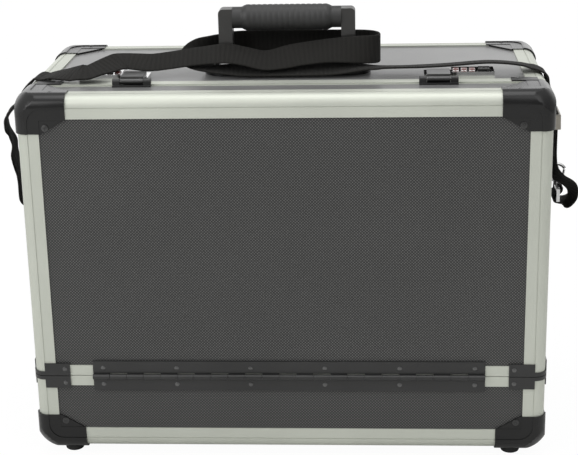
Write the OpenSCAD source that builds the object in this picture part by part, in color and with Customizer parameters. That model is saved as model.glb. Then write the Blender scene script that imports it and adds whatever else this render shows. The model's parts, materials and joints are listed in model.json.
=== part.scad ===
// Upright tool case with a drop-front door.
// Origin on the floor under the middle of the case: X to the right, Y to the back, Z up.
// Black laminated panels sit in aluminium edge sections, with moulded corner caps.
// A piano hinge carries the door, and two combination latches hold it at the top.

/* [Overall] */
// Width of the case over its edge sections
case_w = 460; // [420:1:520]
// Depth of the case over its edge sections
case_d = 226; // [200:1:280]
// Height of the case without its feet
case_h = 330; // [300:1:400]
// Depth of the door, from the front face to the seam
door_d = 45; // [40:0.5:55]
// Height of the fixed sill in front, from the case bottom to the seam
sill_h = 72; // [60:1:100]
// Clearance between the door and the body
seam = 0.6; // [0.4:0.1:1]

/* [Panels] */
// Thickness of the wall panels
wall = 6; // [5:0.5:8]
// Thickness of the floor mat inside
mat_t = 2; // [1:0.5:3]

/* [Edge sections] */
// Radius of the rounded outer edge
edge_r = 10; // [9.5:0.5:12]
// Width of an edge section over its rounding and its flat leg
edge_w = 20; // [19:0.5:22]
// Wall thickness of the rounded part
edge_t = 1.6; // [1.2:0.1:1.8]
// Thickness of the legs and webs
skin = 1.2; // [1:0.1:1.4]
// Width of the groove between the rounding and the flat leg
groove_w = 0.8; // [0.4:0.1:1.2]
// Depth of that groove
groove_d = 0.5; // [0.3:0.1:0.7]

/* [Rims] */
// Visible width of the rim channels along the seam
rim_w = 9.5; // [8:0.5:11]
// Visible width of the rim channel on the top of the body
top_rim_w = 12; // [12:0.5:15.5]
// Thickness of the rim's web
rim_t = 1.5; // [1.2:0.1:2]
// Width of the seal in the body's rim
seal_w = 3; // [2:0.5:4]
// How deep the seal sits in the rim
seal_d = 0.8; // [0.5:0.1:1]

/* [Corner caps] */
// Length of a cap's arm along the width
cap_x = 44; // [40:0.5:48]
// Length of a cap's arm along the depth
cap_y = 44; // [38:0.5:44.5]
// Length of a cap's arm along the height
cap_z = 33; // [32:0.5:40]
// How far the rounded rim of a cap stands proud
cap_t = 1.7; // [1.6:0.1:2.4]
// How far the flat flange of a cap stands proud
flange_t = 0.9; // [0.8:0.1:1.2]
// Radius of the flange's inner corner
cap_fillet = 13; // [8:0.5:14]
// Distance of a cap's screw from the upright edge beside it
screw_x = 26; // [25:0.5:27]
// Distance of a cap's screw from the top or bottom of the case
screw_z = 27.5; // [26:0.5:28]
// Radius of a screw head
screw_r = 3; // [2.5:0.1:3.4]

/* [Seam corners] */
// Width of a flap of a seam corner
flap_w = 23; // [20:0.5:26]
// Height of a flap of a seam corner
flap_h = 11.5; // [10:0.5:12.5]
// Height of the strip that joins the flaps round the edge
flap_neck = 3.5; // [3:0.5:5]
// Thickness of a flap
flap_t = 1.2; // [0.8:0.1:1.5]

/* [Fasteners] */
// Radius of a rivet head
rivet_r = 2; // [1.6:0.1:2.4]
// Height of a rivet head
rivet_h = 0.8; // [0.5:0.1:1.2]

/* [Feet] */
// Height of the feet under the case
foot_h = 8; // [6:0.5:12]
// Radius of a foot
foot_r = 8.5; // [8:0.5:9]
// Distance of a foot from the side of the case
foot_x = 29; // [27:0.5:31]
// Distance of a foot from the front or the back
foot_y = 17; // [15:0.5:20]

/* [Piano hinge] */
// Length of the hinge
hinge_l = 352; // [340:2:360]
// Reach of a leaf from the hinge axis
leaf_w = 14; // [12:0.5:16]
// Thickness of a leaf
leaf_t = 1.2; // [1:0.1:1.4]
// Radius of the knuckles
knuckle_r = 2.6; // [2.4:0.1:3]
// Number of knuckles
knuckles = 23; // [19:2:25]
// Radius of the hinge pin
pin_r = 1.2; // [1:0.1:1.4]
// Rivets in each leaf
hinge_rivets = 6; // [4:1:8]
// Distance between rivets
rivet_pitch = 66.7; // [50:0.1:67.5]

/* [Handle] */
// Distance of the handle behind the middle of the case
handle_y = -14; // [-16:1:10]
// Width over the handle's posts
handle_w = 122.5; // [115:0.5:130]
// Height of the handle over the case top
handle_h = 57; // [52:1:60]
// Width of a post
post_w = 12.5; // [12:0.5:14]
// Radius of the rounded top corner of a post
post_corner = 4; // [2:0.5:6]
// Depth of a post
post_d = 15; // [13:0.5:16]
// Radius of the grip
grip_r = 11.5; // [10:0.5:12]
// Length of the ribbed sleeve
grip_l = 74; // [66:1:78]
// Radius of the sleeve's plain ends
collar_r = 9.6; // [8.5:0.1:10.2]
// Depth of the grooves between the grip's ribs
rib_h = 0.7; // [0.5:0.1:1.4]
// How far the grip stands over the posts
grip_proud = 3; // [0:0.5:4]
// Ribs on the sleeve
grip_ribs = 11; // [8:1:12]
// Length of the base plate
base_l = 150; // [146:1:160]
// Depth of the base plate
base_d = 38; // [34:1:40]
// Thickness of the base plate
base_t = 4; // [3.5:0.5:5]
// Radius of the handle's pins
handle_pin_r = 2.5; // [2:0.1:2.8]

/* [Latches] */
// Distance of a latch's inner end from the middle
latch_x = 122; // [120:1:124]
// Length of a lock case
lock_l = 61; // [60:1:63]
// Depth of a lock case
lock_d = 22; // [20:1:24]
// Distance of a lock case behind the seam
lock_back = 12; // [11:0.5:13]
// Height of the lock case at its dials
lock_h = 6; // [5.5:0.1:6.5]
// Height of the lock case under the hasp
keep_h = 3.4; // [3:0.1:3.6]
// Length of the low part under the hasp
keep_l = 24; // [23.5:0.5:25]
// Radius of a dial
dial_r = 4.3; // [4:0.1:4.5]
// Width of a dial
dial_w = 5.2; // [4.8:0.1:5.4]
// Distance between dials
dial_pitch = 7.1; // [7:0.1:7.4]
// Radius of the dials' axle
axle_r = 1.4; // [1.2:0.1:1.6]
// Length of the slide button
button_l = 10; // [8:0.5:10.5]
// Travel of the slide button
button_travel = 3.5; // [2.5:0.5:4]
// Width of the hasp
hasp_w = 20.2; // [19:0.2:22.4]
// Reach of the hasp behind its pin
hasp_l = 22.5; // [20.5:0.5:23]
// Thickness of the hasp
hasp_t = 3.8; // [3:0.1:4]
// Radius of the hasp's knuckle
hasp_r = 2.6; // [2.3:0.1:2.8]
// Radius of the hasp's pin
hasp_pin_r = 1.2; // [1:0.1:1.4]
// Width over the hasp's bracket
bracket_w = 34; // [33:0.5:36]

/* [Strap and its fittings] */
// Width of the webbing
strap_w = 25; // [20:1:26]
// Thickness of the webbing
strap_t = 1.8; // [1.2:0.1:2]
// Height of the ring's pin over the case bottom
ring_h = 244; // [228:1:250]
// Distance of the ring behind the middle of the case
ring_y = 15; // [5:1:25]
// Radius of the ring's wire
ring_wire = 1.6; // [1.4:0.1:1.8]
// Half width of the ring
ring_r = 13.5; // [12:0.5:14]
// Length of the ring's straight sides
ring_side = 8; // [6:0.5:10]
// How far the ring leans out from the wall, in degrees
ring_lean = 45; // [40:1:48]
// Radius of the snap hook's loop
hook_r = 8; // [7.6:0.1:8.4]
// Radius of the snap hook's wire
hook_wire = 1.5; // [1.3:0.1:1.6]
// Width of the hook's strap eye
eye_w = 33; // [33:0.5:36]
// Height of the hook's strap eye
eye_h = 12; // [11:0.5:13]

/* [Hidden] */
$fn = 64;
eps = 0.01;
// Clearance between a pin and its bore
run = 0.05;
// Clearance between parts that move past each other
gap = 0.3;

// Main planes
zb = foot_h;
zt = zb + case_h;
zs = zb + sill_h;
x_side = case_w / 2;
y_front = -case_d / 2;
y_back = case_d / 2;
ys = y_front + door_d;
half_seam = seam / 2;
// Seam planes of the body and the door
y_body = ys + half_seam;
y_door = ys - half_seam;
z_body = zs - half_seam;
z_door = zs + half_seam;
// Depth of a channel from the outer face to the inside of its inner leg
slot_in = skin + wall;
channel = slot_in + skin;
inner_leg = edge_w - 2;
// Ends of the edge sections, short of the corners
x_bar = x_side - edge_w;
// The ball that rounds a cap's corner: how far it reaches, its middle and its radius, which
// just clears the middle of a cap's rounded edges where the ball ends
ball_end = min(edge_w, 2 * edge_r);
ball_at = ball_end + 2;
ball_r = sqrt(4 + 2 * pow(ball_at - edge_r + (edge_r + cap_t) / sqrt(2), 2)) + 0.1;

// Directions, and the starts and lengths of the body's rims
X = [1, 0, 0];
Y = [0, 1, 0];
Z = [0, 0, 1];
top_rim_at = [-x_bar, y_body, zt];
side_rim_at = [x_side, y_body, z_body];
ledge_at = [x_side, y_front + edge_w, z_body];
sill_rim_at = [-x_bar, y_front, z_body];
across = 2 * x_bar * X;
side_run = (zt - edge_w - z_body) * Z;
ledge_run = (y_body - y_front - edge_w) * Y;
// Reach of the gusset on the door's side, short of the rim
door_gusset = door_d - half_seam - rim_w + 2.5;

// Piano hinge: its axis in front of the face
axis_y = y_front - knuckle_r - 0.4;
knuckle_l = hinge_l / knuckles;
rivet_z = leaf_w * 0.56;

// Handle
pivot_z = zt + base_t + 10;
post_x = handle_w / 2 - post_w;
ear_w = 4;
grip_z = zt + handle_h - grip_r + grip_proud;
base_z = zt - skin;
post_out = handle_w / 2;
ear_r = 6.5;
bar_z = grip_z - pivot_z;
post_top = zt + handle_h - pivot_z;

// Latches: the axle, the pin and the button
lock_y = y_body + lock_back;
dial_y = lock_y + 8.7;
dial_z = zt + dial_r - 0.6;
dial_x0 = latch_x + keep_l + 1;
axle_l = 2 * dial_pitch + dial_w + 2;
staple_w = 9;
staple_t = 2.4;
staple_y = lock_y + 2.2;
rim_end = y_body + top_rim_w;
button_x = latch_x + lock_l - button_l - 4;
hasp_y = ys - 2;
hasp_z = zt + hasp_r + 0.6;
hasp_x = latch_x + keep_l / 2;

// Ring, hook and strap
ring_x = x_side + 3.4;
ring_z = zb + ring_h;
ring_drop = ring_side + ring_r;
hang_x = ring_x + ring_drop * sin(ring_lean);
hang_z = ring_z - ring_drop * cos(ring_lean);
hook_drop = hook_r - hook_wire - ring_wire - gap;
hook_z = hang_z - hook_drop;
neck_l = 4;
eye_z = hook_z - hook_r - neck_l;
eye_bar_z = eye_z - eye_h + 1.5;
gate_lo = -50;
gate_hi = 30;
gate_r = 1.1;
gate_foot = [hook_r * cos(gate_lo), hook_r * sin(gate_lo)];
gate_tip = [hook_r * cos(gate_hi), hook_r * sin(gate_hi)];
gate_len = norm(gate_tip - gate_foot) - gate_r - hook_wire - gap;
gate_turn = atan2(gate_tip[0] - gate_foot[0], gate_tip[1] - gate_foot[1]);

// One of a mirrored pair, or both
module side(s) {
    mirror([s < 0 ? 1 : 0, 0, 0]) children();
}
module both() {
    for (s = [-1, 1]) side(s) children();
}
// Turns a length along Z to lie along X: X to Y, Y to Z, Z to X
module along_x() {
    rotate([90, 0, 90]) children();
}
// Turns a length along Z to lie along Y: Y to X, X to Z, Z to Y
module along_y() {
    along_x() along_x() children();
}
// The same shape on the faces across Z, X and Y
module three_ways() {
    children();
    along_x() children();
    along_y() children();
}
// A box between two opposite corners, in any order
module block(a, b) {
    translate([for (i = [0:2]) min(a[i], b[i])]) cube([for (i = [0:2]) abs(a[i] - b[i])]);
}
module panel_color() {
    color([0.16, 0.16, 0.17]) children();
}
module metal() {
    color([0.76, 0.77, 0.75]) children();
}
module black() {
    color([0.09, 0.09, 0.1]) children();
}
module steel() {
    color([0.6, 0.6, 0.62]) children();
}

// Panels of the body
module back_panel() panel_color()
    block([-x_side + edge_r, y_back - slot_in, zb + edge_r],
          [x_side - edge_r, y_back - skin, zt - edge_r]);
module top_panel() panel_color()
    block([-x_side + edge_r, y_body + rim_t, zt - slot_in],
          [x_side - edge_r, y_back - edge_r, zt - skin]);
module bottom_panel() panel_color()
    block([-x_side + edge_r, y_front + edge_r, zb + skin],
          [x_side - edge_r, y_back - edge_r, zb + slot_in]);
module side_panels() panel_color() both()
    translate([x_side - slot_in, 0, 0]) along_x() linear_extrude(wall) polygon([
        [y_front + edge_r, zb + edge_r], [y_back - edge_r, zb + edge_r],
        [y_back - edge_r, zt - edge_r], [y_body + rim_t, zt - edge_r],
        [y_body + rim_t, z_body - rim_t], [y_front + edge_r, z_body - rim_t]]);
module sill_panel() panel_color()
    block([-x_side + edge_r, y_front + skin, zb + edge_r],
          [x_side - edge_r, y_front + slot_in, z_body - rim_t]);
module floor_mat() color([0.1, 0.1, 0.1])
    block([-x_side + inner_leg + 1, y_front + inner_leg + 1, zb + slot_in],
          [x_side - inner_leg - 1, y_back - inner_leg - 1, zb + slot_in + mat_t]);

// Edge section along +Z, its corner at the origin, its legs towards +X and +Y
module edge_bar(len) {
    difference() {
        intersection() {
            translate([edge_r, edge_r, 0]) cylinder(r = edge_r, h = len);
            cube([edge_r, edge_r, len]);
        }
        translate([edge_r, edge_r, -1]) cylinder(r = edge_r - edge_t, h = len + 2);
    }
    for (m = [0, 1]) mirror([m, -m, 0]) {
        block([0, edge_r + groove_w, 0], [skin, edge_w, len]);
        block([groove_d, edge_r - skin, 0], [skin, edge_r + groove_w, len]);
        block([groove_d, edge_r - skin, 0], [channel, edge_r, len]);
        block([slot_in, edge_r - skin, 0], [channel, inner_leg, len]);
    }
}
// An edge section across the case, its legs turned up or down, and back or forward
module cross_edge(y, z, up, back) {
    translate([-x_bar, y, z])
        mirror([0, back ? 0 : 1, 0]) mirror([0, 0, up ? 0 : 1])
            along_x() edge_bar(2 * x_bar);
}
// An edge section from front to back on the right-hand side
module depth_edge(y0, y1, z, up) {
    translate([x_side, y0, z]) mirror([1, 0, 0]) mirror([0, 0, up ? 0 : 1])
        along_y() edge_bar(y1 - y0);
}
// An upright edge section on the right-hand side
module upright_edge(y, z0, z1, back) {
    translate([x_side, y, z0]) mirror([1, 0, 0]) mirror([0, back ? 0 : 1, 0])
        edge_bar(z1 - z0);
}
module cross_edges() metal() {
    cross_edge(y_front, zb, true, true);
    cross_edge(y_back, zb, true, false);
    cross_edge(y_back, zt, false, false);
}
module depth_edges() metal() both() {
    depth_edge(y_front + edge_w, y_back - edge_w, zb, true);
    depth_edge(y_body, y_back - edge_w, zt, false);
}
module rear_upright_edges() metal() both()
    upright_edge(y_back, zb + edge_w, zt - edge_w, false);
module sill_upright_edges() metal() both()
    upright_edge(y_front, zb + edge_w, z_body, true);

// A rim channel from the point o on the outer face, along the seam
module rim(o, along, away, inward, leg) {
    block(o, o + along + away * rim_t + inward * channel);
    block(o, o + along + away * leg + inward * skin);
    block(o + inward * slot_in, o + along + away * min(leg, rim_w) + inward * channel);
}
// The seal in a rim, or the groove for it, from the same point
module seal(o, along, away, inward, proud) {
    mid = inward * (channel - seal_w) / 2;
    block(o + mid - away * proud, o + mid + along + away * seal_d + inward * seal_w);
}
module seals(proud) {
    seal(top_rim_at, across, Y, -Z, proud);
    seal(sill_rim_at, across, -Z, Y, proud);
    both() {
        seal(side_rim_at + seal_w * Z, side_run - seal_w * Z, Y, -X, proud);
        seal(ledge_at, ledge_run - seal_w * Y, -Z, -X, proud);
    }
}
module body_rims() metal() difference() {
    union() {
        rim(top_rim_at, across, Y, -Z, top_rim_w);
        rim(sill_rim_at, across, -Z, Y, rim_w);
        both() {
            rim(side_rim_at, side_run, Y, -X, rim_w);
            rim(ledge_at, ledge_run, -Z, -X, rim_w);
            block(side_rim_at, side_rim_at - rim_w * Z + rim_w * Y - skin * X);
            block(side_rim_at - slot_in * X,
                  side_rim_at - channel * X - rim_w * Z + rim_w * Y);
            block(side_rim_at, side_rim_at - channel * X + rim_t * Y - rim_t * Z);
        }
    }
    seals(1);
}
module body_seal() color([0.05, 0.05, 0.05]) seals(seam - gap);

// A block with rounded edges at its corner, that corner at the point [o, o, o]
module rounded_corner(r, o, l) {
    translate([o, o, o]) {
        translate([r, r, r]) sphere(r);
        three_ways() {
            translate([r, r, r]) cylinder(r = r, h = l - r);
            translate([r, r, 0]) cube([l - r, l - r, l]);
        }
    }
}
// What lies outside a ball of radius r at the corner, so that the corner is rounder
module off_ball(r) {
    difference() {
        block([-5, -5, -5], ball_end * [1, 1, 1]);
        translate(ball_at * [1, 1, 1]) sphere(r);
    }
}
// The flat flange's outline on a face, with its rounded inner corner
module flange_pocket(h) {
    f = edge_r + 0.5;
    translate([f + cap_fillet, f, 0]) cube([60, 60, h]);
    translate([f, f + cap_fillet, 0]) cube([60, 60, h]);
    translate([f + cap_fillet, f + cap_fillet, 0]) cylinder(r = cap_fillet, h = h);
}
// The gusset between two arms, on the panel
module gusset(a, b) {
    translate([0, 0, -flange_t + 0.4]) linear_extrude(flange_t - 0.4 + skin) polygon([
        [edge_w, edge_w], [a - 2.5, edge_w], [a - 2.5, edge_w + 1.5],
        [edge_w + 2, b], [edge_w, b]]);
}
// A corner cap, the corner of the case at the origin and the case in the positive octant.
// ax, ay and az are its arms, and gy is how far the side gusset reaches.
module corner_cap(ax, ay, az, gy) {
    band = edge_w + 1;
    difference() {
        intersection() {
            difference() {
                rounded_corner(edge_r + cap_t, -cap_t, 64);
                off_ball(ball_r);
                difference() {
                    rounded_corner(edge_r, 0, 70);
                    off_ball(ball_r - cap_t);
                }
            }
            union() {
                block([-5, -5, -5], [ax, band, band]);
                block([-5, -5, -5], [band, ay, band]);
                block([-5, -5, -5], [band, band, az]);
            }
        }
        three_ways()
            translate([0, 0, -cap_t - 1]) flange_pocket(cap_t - flange_t + 1);
    }
    gusset(ax, ay);
    mirror([0, 1, -1]) gusset(ax, az);
    along_x() gusset(gy, az);
}
// Places a cap at a corner: to the right, with the case above or below, behind or before
module at_corner(y, z, up, back) {
    translate([x_side, y, z])
        mirror([1, 0, 0]) mirror([0, back ? 0 : 1, 0]) mirror([0, 0, up ? 0 : 1]) children();
}
module door_caps() black() both() at_corner(y_front, zt, false, true)
    corner_cap(cap_x, cap_y, cap_z, door_gusset);
module top_rear_caps() black() both() at_corner(y_back, zt, false, false)
    corner_cap(cap_x, cap_y, cap_z, cap_y);
// A bottom cap, with the pad that its foot stands on
module bottom_cap() {
    corner_cap(cap_x, cap_y, cap_z, cap_y);
    translate([foot_x, foot_y, -cap_t]) cylinder(r = foot_r + 1, h = cap_t);
}
module bottom_front_caps() black() both() at_corner(y_front, zb, true, true) bottom_cap();
module bottom_rear_caps() black() both() at_corner(y_back, zb, true, false) bottom_cap();

// A domed foot under its pad, pointing down
module foot() {
    h = foot_h - cap_t;
    translate([foot_x, foot_y, -cap_t]) mirror([0, 0, 1]) rotate_extrude() {
        square([foot_r, h - 2]);
        square([foot_r - 2, h]);
        translate([foot_r - 2, h - 2]) circle(2);
    }
}
module feet() color([0.06, 0.06, 0.06]) both() {
    at_corner(y_front, zb, true, true) foot();
    at_corner(y_back, zb, true, false) foot();
}

// A cross-head screw on a gusset, seen from -Z
module screw_head(a, b) {
    translate([a, b, -flange_t + 0.4]) mirror([0, 0, 1]) difference() {
        intersection() {
            cylinder(r = screw_r, h = 1.2);
            translate([0, 0, 1.2 - 3 * screw_r]) sphere(3 * screw_r);
        }
        for (t = [0, 90]) rotate(t)
            translate([-screw_r * 0.6, -0.3, 0.6]) cube([screw_r * 1.2, 0.6, 2]);
    }
}
// A rivet head on a face, seen from -Z
module rivet_head(a, b, depth) {
    translate([a, b, depth]) mirror([0, 0, 1]) intersection() {
        cylinder(r = rivet_r, h = rivet_h);
        translate([0, 0, rivet_h - 2 * rivet_r]) sphere(2 * rivet_r);
    }
}
module cap_screws() {
    mirror([0, 1, -1]) screw_head(screw_x, screw_z);
    along_x() screw_head(screw_x, screw_z);
}
module cap_top_rivet() {
    rivet_head(foot_x, edge_w * 0.65, -flange_t);
}
module door_cap_screws() steel() both() at_corner(y_front, zt, false, true) {
    cap_screws();
    cap_top_rivet();
}
module body_cap_screws() steel() both() {
    at_corner(y_front, zb, true, true) cap_screws();
    at_corner(y_back, zb, true, false) cap_screws();
    at_corner(y_back, zt, false, false) {
        cap_screws();
        cap_top_rivet();
    }
}

// A seam corner rising from the seam at Z = 0, two flaps joined round the edge
module seam_corner() {
    for (m = [0, 1]) mirror([m, -m, 0])
        block([edge_r, -flap_t, 0], [edge_r + flap_w, 0, flap_h]);
    intersection() {
        difference() {
            translate([edge_r, edge_r, 0]) cylinder(r = edge_r + flap_t, h = flap_neck);
            translate([edge_r, edge_r, -1]) cylinder(r = edge_r, h = flap_neck + 2);
        }
        translate([-5, -5, -2]) cube([edge_r + 5, edge_r + 5, flap_neck + 4]);
    }
}
module seam_corner_rivets() {
    for (m = [0, 1]) mirror([m, -m, 0]) mirror([0, 1, -1])
        rivet_head(edge_r + flap_w * 0.8, flap_h * 0.55, -flap_t);
}
// The places of the body's and the door's seam corners
module at_sill_seam() {
    translate([x_side, y_front, z_body]) mirror([1, 0, 0]) mirror([0, 0, 1]) children();
}
module at_top_seam() {
    translate([x_side, y_body, zt]) mirror([1, 0, 0]) mirror([0, 0, 1]) along_y() children();
}
module at_door_seam() {
    translate([x_side, y_front, z_door]) mirror([1, 0, 0]) children();
}
module body_seam_corners() black() both() {
    at_sill_seam() seam_corner();
    at_top_seam() seam_corner();
}
module door_seam_corners() black() both() at_door_seam() seam_corner();

// Piano hinge. A leaf lies on the face above the axis; its knuckles take every second place.
module leaf(first) {
    difference() {
        union() {
            block([-hinge_l / 2, y_front - leaf_t, zs + knuckle_r + gap],
                  [hinge_l / 2, y_front, zs + leaf_w]);
            for (i = [first:2:knuckles - 1])
                translate([-hinge_l / 2 + i * knuckle_l + gap / 2, 0, zs]) {
                    along_x_at(axis_y) cylinder(r = knuckle_r, h = knuckle_l - gap);
                    block([0, y_front - leaf_t, 0],
                          [knuckle_l - gap, y_front, knuckle_r + gap + eps]);
                }
        }
        translate([-hinge_l / 2 - 1, 0, zs])
            along_x_at(axis_y) cylinder(r = pin_r + run, h = hinge_l + 2);
    }
}
module along_x_at(y) {
    translate([0, y, 0]) along_x() children();
}
module hinge_upper_leaf() black() leaf(0);
module hinge_lower_leaf() black()
    translate([0, 0, 2 * zs]) mirror([0, 0, 1]) leaf(1);
module hinge_pin() steel()
    translate([-hinge_l / 2 + gap, 0, zs]) along_x_at(axis_y)
        cylinder(r = pin_r, h = hinge_l - 2 * gap);
module hinge_rivet_row(z) {
    for (i = [0:hinge_rivets - 1])
        translate([(i - (hinge_rivets - 1) / 2) * rivet_pitch, y_front - leaf_t, z])
            mirror([0, 1, -1]) rivet_head(0, 0, 0);
}
module door_rivets() steel() {
    hinge_rivet_row(zs + rivet_z);
    both() at_door_seam() seam_corner_rivets();
}
module body_rivets() steel() {
    hinge_rivet_row(zs - rivet_z);
    both() {
        at_sill_seam() seam_corner_rivets();
        at_top_seam() seam_corner_rivets();
        ring_rivets();
    }
}

// Door: panels, edge sections and rims
module door_panel() panel_color()
    block([-x_side + edge_r, y_front + skin, z_door + rim_t],
          [x_side - edge_r, y_front + slot_in, zt - edge_r]);
module door_top_panel() panel_color()
    block([-x_side + edge_r, y_front + edge_r, zt - slot_in],
          [x_side - edge_r, y_door - rim_t, zt - skin]);
module door_side_panels() panel_color() both()
    block([x_side - slot_in, y_front + edge_r, z_door + rim_t],
          [x_side - skin, y_door - rim_t, zt - edge_r]);
module door_edges() metal() {
    cross_edge(y_front, zt, false, true);
    both() {
        upright_edge(y_front, z_door, zt - edge_w, true);
        depth_edge(y_front + edge_w, y_door, zt, false);
    }
}
module door_rims() metal() {
    rim([-x_bar, y_front, z_door], across, Z, Y, rim_w);
    block([-x_bar, y_door, zt - skin], [x_bar, y_door - rim_t, zt - channel]);
    block([-x_bar, y_door, zt - slot_in], [x_bar, y_door - rim_w, zt - channel]);
    both() {
        rim([x_side, y_front + edge_w, z_door], (door_d - edge_w - half_seam) * Y, Z, -X, rim_w);
        rim([x_side, y_door, z_door], (zt - edge_w - z_door) * Z, -Y, -X, rim_w);
    }
}

// Handle: a base plate with four ears, two posts on pins, and a ribbed sleeve
module pill(l, d, h) {
    for (s = [-1, 1]) translate([s * (l - d) / 2, 0, 0]) cylinder(r = d / 2, h = h);
    translate([-(l - d) / 2, -d / 2, 0]) cube([l - d, d, h]);
}
module at_pivot() {
    translate([0, handle_y, pivot_z]) children();
}
module ear(x0) {
    translate([x0, 0, 0]) {
        along_x() cylinder(r = ear_r, h = ear_w);
        translate([0, -ear_r, zt + base_t - pivot_z - 1]) cube([ear_w, 2 * ear_r,
            pivot_z - zt - base_t + 1]);
    }
}
module handle_base() black() difference() {
    union() {
        translate([0, handle_y, base_z]) pill(base_l, base_d, base_t + skin);
        at_pivot() both() {
            ear(post_out + gap);
            ear(post_x - gap - ear_w);
        }
    }
    at_pivot() both() translate([post_x - gap - ear_w - 1, 0, 0])
        along_x() cylinder(r = handle_pin_r + run, h = post_w + 2 * ear_w + 4);
}
module handle_pins() steel() at_pivot() both()
    translate([post_x - gap - ear_w, 0, 0])
        along_x() cylinder(r = handle_pin_r, h = post_w + 2 * ear_w + 2 * gap);
module handle() black() at_pivot() difference() {
    union() {
        both() translate([post_x, 0, 0]) {
            along_x() cylinder(r = ear_r, h = post_w);
            translate([0, post_d / 2, 0]) rotate([90, 0, 0]) linear_extrude(post_d) {
                translate([0, 4]) square([post_w - post_corner, post_top - 4]);
                translate([0, 4]) square([post_w, post_top - 4 - post_corner]);
                translate([post_w - post_corner, post_top - post_corner])
                    circle(post_corner);
            }
            translate([0, -ear_r, 0]) cube([post_w, 2 * ear_r, 6]);
        }
        translate([-post_x - 1, 0, bar_z]) along_x() cylinder(r = 6, h = 2 * post_x + 2);
    }
    both() translate([post_x - 1, 0, 0])
        along_x() cylinder(r = handle_pin_r + run, h = post_w + 2);
}
module handle_grip() color([0.13, 0.13, 0.13]) at_pivot() translate([0, 0, bar_z])
    difference() {
        along_x() translate([0, 0, -post_x]) rotate_extrude() {
            ends = post_x - grip_l / 2;
            square([collar_r, 2 * post_x]);
            polygon([[0, ends - 4], [collar_r, ends - 4], [grip_r - rib_h, ends],
                     [grip_r - rib_h, 2 * post_x - ends], [collar_r, 2 * post_x - ends + 4],
                     [0, 2 * post_x - ends + 4]]);
            pitch = grip_l / grip_ribs;
            for (i = [0:grip_ribs - 1])
                translate([0, post_x - grip_l / 2 + (i + 0.2) * pitch])
                    square([grip_r, pitch * 0.6]);
        }
        translate([-post_x - 1, 0, 0]) along_x() cylinder(r = 6, h = 2 * post_x + 2);
    }

// Latches. The lock case stands on the body's rim, low under the hasp.
module lock_box(x0, x1, y0, y1, h) {
    block([x0, y0, zt], [x1, y1, zt + h]);
    block([x0, max(y0, rim_end), zt - skin], [x1, y1, zt]);
}
module lock_case() difference() {
    union() {
        lock_box(latch_x, latch_x + keep_l, lock_y, lock_y + lock_d, keep_h);
        lock_box(latch_x + keep_l, latch_x + lock_l, lock_y, lock_y + lock_d, lock_h);
    }
    block([hasp_x - staple_w / 2 - 1, lock_y - 1, zt + gap],
          [hasp_x + staple_w / 2 + 1, staple_y + staple_t + 1, zt + keep_h + 1]);
    for (i = [0:2])
        block([dial_x0 + i * dial_pitch - gap, dial_y - dial_r - gap, zt - 2],
              [dial_x0 + i * dial_pitch + dial_w + gap, dial_y + dial_r + gap, zt + 20]);
    translate([dial_x0 - 1, dial_y, dial_z]) along_x() cylinder(r = axle_r, h = axle_l);
    block([button_x + 2 - gap, dial_y - 2 - gap, zt + 1],
          [button_x + button_l - 2 + button_travel + gap, dial_y + 2 + gap, zt + 20]);
}
module lock_case_right() steel() lock_case();
module lock_case_left() steel() side(-1) lock_case();
module dial_axles() steel() both()
    translate([dial_x0 - 1, dial_y, dial_z]) along_x() cylinder(r = axle_r, h = axle_l);
// One dial of a latch, counted from the hasp
module dial(i) black() translate([dial_x0 + i * dial_pitch, dial_y, dial_z])
    along_x() difference() {
        cylinder(r = dial_r, h = dial_w, $fn = 10);
        translate([0, 0, -1]) cylinder(r = axle_r + run, h = dial_w + 2);
    }
module dial_right_1() dial(0);
module dial_right_2() dial(1);
module dial_right_3() dial(2);
module dial_left_1() side(-1) dial(0);
module dial_left_2() side(-1) dial(1);
module dial_left_3() side(-1) dial(2);
// The slide button: its stem runs in the lock case's slot
module lock_button() black() {
    block([button_x, dial_y - 5, zt + lock_h + gap],
          [button_x + button_l, dial_y + 5, zt + lock_h + 2.2]);
    block([button_x + 2, dial_y - 2, zt + 1 + gap],
          [button_x + button_l - 2, dial_y + 2, zt + lock_h + 1]);
}
module lock_button_right() lock_button();
module lock_button_left() side(-1) lock_button();

// Hasps on the door: a bracket with two end knuckles, a pin and the hasp itself
module at_hasp() {
    translate([hasp_x, hasp_y, hasp_z]) children();
}
module hasp_bracket() at_hasp() difference() {
    union() {
        block([-bracket_w / 2, -4.5, zt - skin - hasp_z],
              [bracket_w / 2, y_door - hasp_y, zt + 0.3 - hasp_z]);
        for (s = [-1, 1]) side(s) {
            block([hasp_w / 2 + gap, -hasp_r, zt - hasp_z],
                  [bracket_w / 2, min(hasp_r, y_door - hasp_y), 0]);
            translate([hasp_w / 2 + gap, 0, 0]) along_x()
                cylinder(r = hasp_r, h = (bracket_w - hasp_w) / 2 - gap);
        }
    }
    translate([-bracket_w, 0, 0]) along_x()
        cylinder(r = hasp_pin_r + run, h = 2 * bracket_w);
}
module hasp_brackets() color([0.3, 0.3, 0.31]) both() hasp_bracket();
module hasp_pins() steel() both() at_hasp()
    translate([-bracket_w / 2 + 0.5, 0, 0]) along_x()
        cylinder(r = hasp_pin_r, h = bracket_w - 1);
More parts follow.
